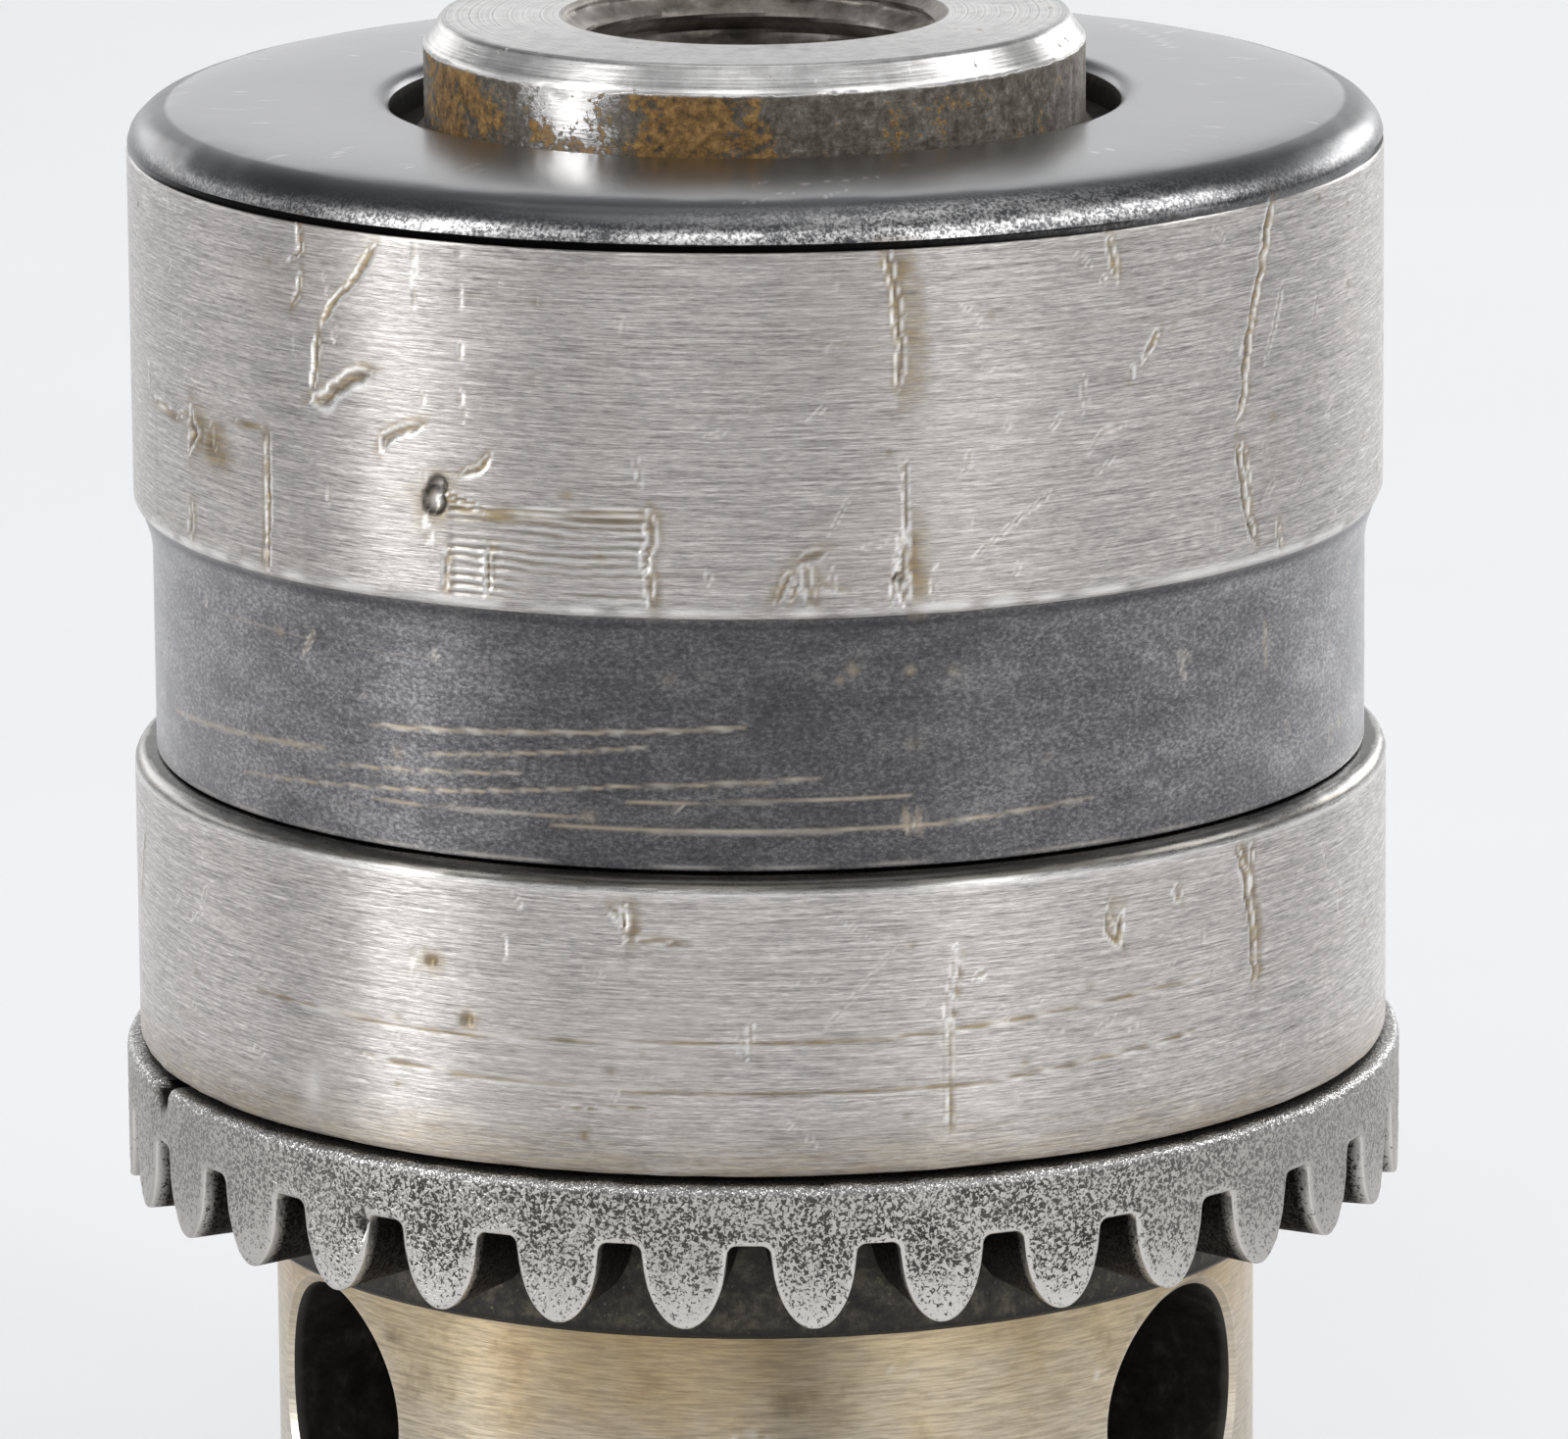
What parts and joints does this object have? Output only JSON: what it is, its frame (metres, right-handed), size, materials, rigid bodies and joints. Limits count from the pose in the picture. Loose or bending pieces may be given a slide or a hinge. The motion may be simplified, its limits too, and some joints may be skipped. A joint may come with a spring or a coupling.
{
  "type": "drill chuck",
  "caption": "Keyed three-jaw drill chuck: geared sleeve and split nut drive inclined jaws in and out of the nose; threaded spindle mount, ball thrust bearing and key pilot holes.",
  "frame": {"origin": "centre of the nose face, on the chuck's axis", "axes": "+Z along the spindle axis, from the nose to the spindle boss; one of the three key pilot holes faces +Y and one jaw lies towards -Y"},
  "size_m": [0.043, 0.043, 0.0614],
  "materials": {
    "body_steel": "black oxide on the rear face and recessed band, turned bright on the rear band, boss and nose, worn",
    "sleeve_steel": "turned bright band with a black oxide upper edge, worn",
    "gear_steel": "granular black steel, worn bright at the tooth edges",
    "nut_steel": "oiled, hardened",
    "jaw_steel": "ground, hardened, oiled",
    "bearing_steel": "ground, hardened",
    "ball_steel": "polished",
    "cage_brass": "satin"
  },
  "bodies": {
    "body": {"body": "body_steel", "race_upper": "bearing_steel"},
    "sleeve": {"sleeve": "sleeve_steel", "gear_ring": "gear_steel", "nut_half_1": "nut_steel", "nut_half_2": "nut_steel", "race_lower": "bearing_steel"},
    "ball_cage": {"ball_cage": "cage_brass", "ball_01": "ball_steel", "ball_02": "ball_steel", "ball_03": "ball_steel", "ball_04": "ball_steel", "ball_05": "ball_steel", "ball_06": "ball_steel", "ball_07": "ball_steel", "ball_08": "ball_steel", "ball_09": "ball_steel", "ball_10": "ball_steel", "ball_11": "ball_steel", "ball_12": "ball_steel", "ball_13": "ball_steel", "ball_14": "ball_steel", "ball_15": "ball_steel", "ball_16": "ball_steel", "ball_17": "ball_steel", "ball_18": "ball_steel", "ball_19": "ball_steel", "ball_20": "ball_steel"},
    "jaw_1": {"jaw_1": "jaw_steel"},
    "jaw_2": {"jaw_2": "jaw_steel"},
    "jaw_3": {"jaw_3": "jaw_steel"}
  },
  "joints": [
    {"name": "sleeve_turn", "type": "hinge", "parent": "body", "child": "sleeve", "pos_m": [0, 0, 0.03], "axis": [0, 0, 1], "range_deg": [0, 5166]},
    {"name": "ball_orbit", "type": "hinge", "parent": "body", "child": "ball_cage", "pos_m": [0, 0, 0.03145], "axis": [0, 0, 1], "range_deg": [0, 2583]},
    {"name": "jaw_1_slide", "type": "slide", "parent": "body", "child": "jaw_1", "axis": [-0.2168, -0.1252, -0.9681], "range_m": [0, 0.023]},
    {"name": "jaw_2_slide", "type": "slide", "parent": "body", "child": "jaw_2", "axis": [0.2168, -0.1252, -0.9681], "range_m": [0, 0.023]},
    {"name": "jaw_3_slide", "type": "slide", "parent": "body", "child": "jaw_3", "axis": [0, 0.2504, -0.9681], "range_m": [0, 0.023]}
  ],
  "couplings": [
    {"joint": "ball_orbit", "follows": "sleeve_turn", "ratio": 0.5},
    {"joint": "jaw_1_slide", "follows": "sleeve_turn", "m_per_rad": 0.00025465},
    {"joint": "jaw_2_slide", "follows": "sleeve_turn", "m_per_rad": 0.00025465},
    {"joint": "jaw_3_slide", "follows": "sleeve_turn", "m_per_rad": 0.00025465}
  ]
}
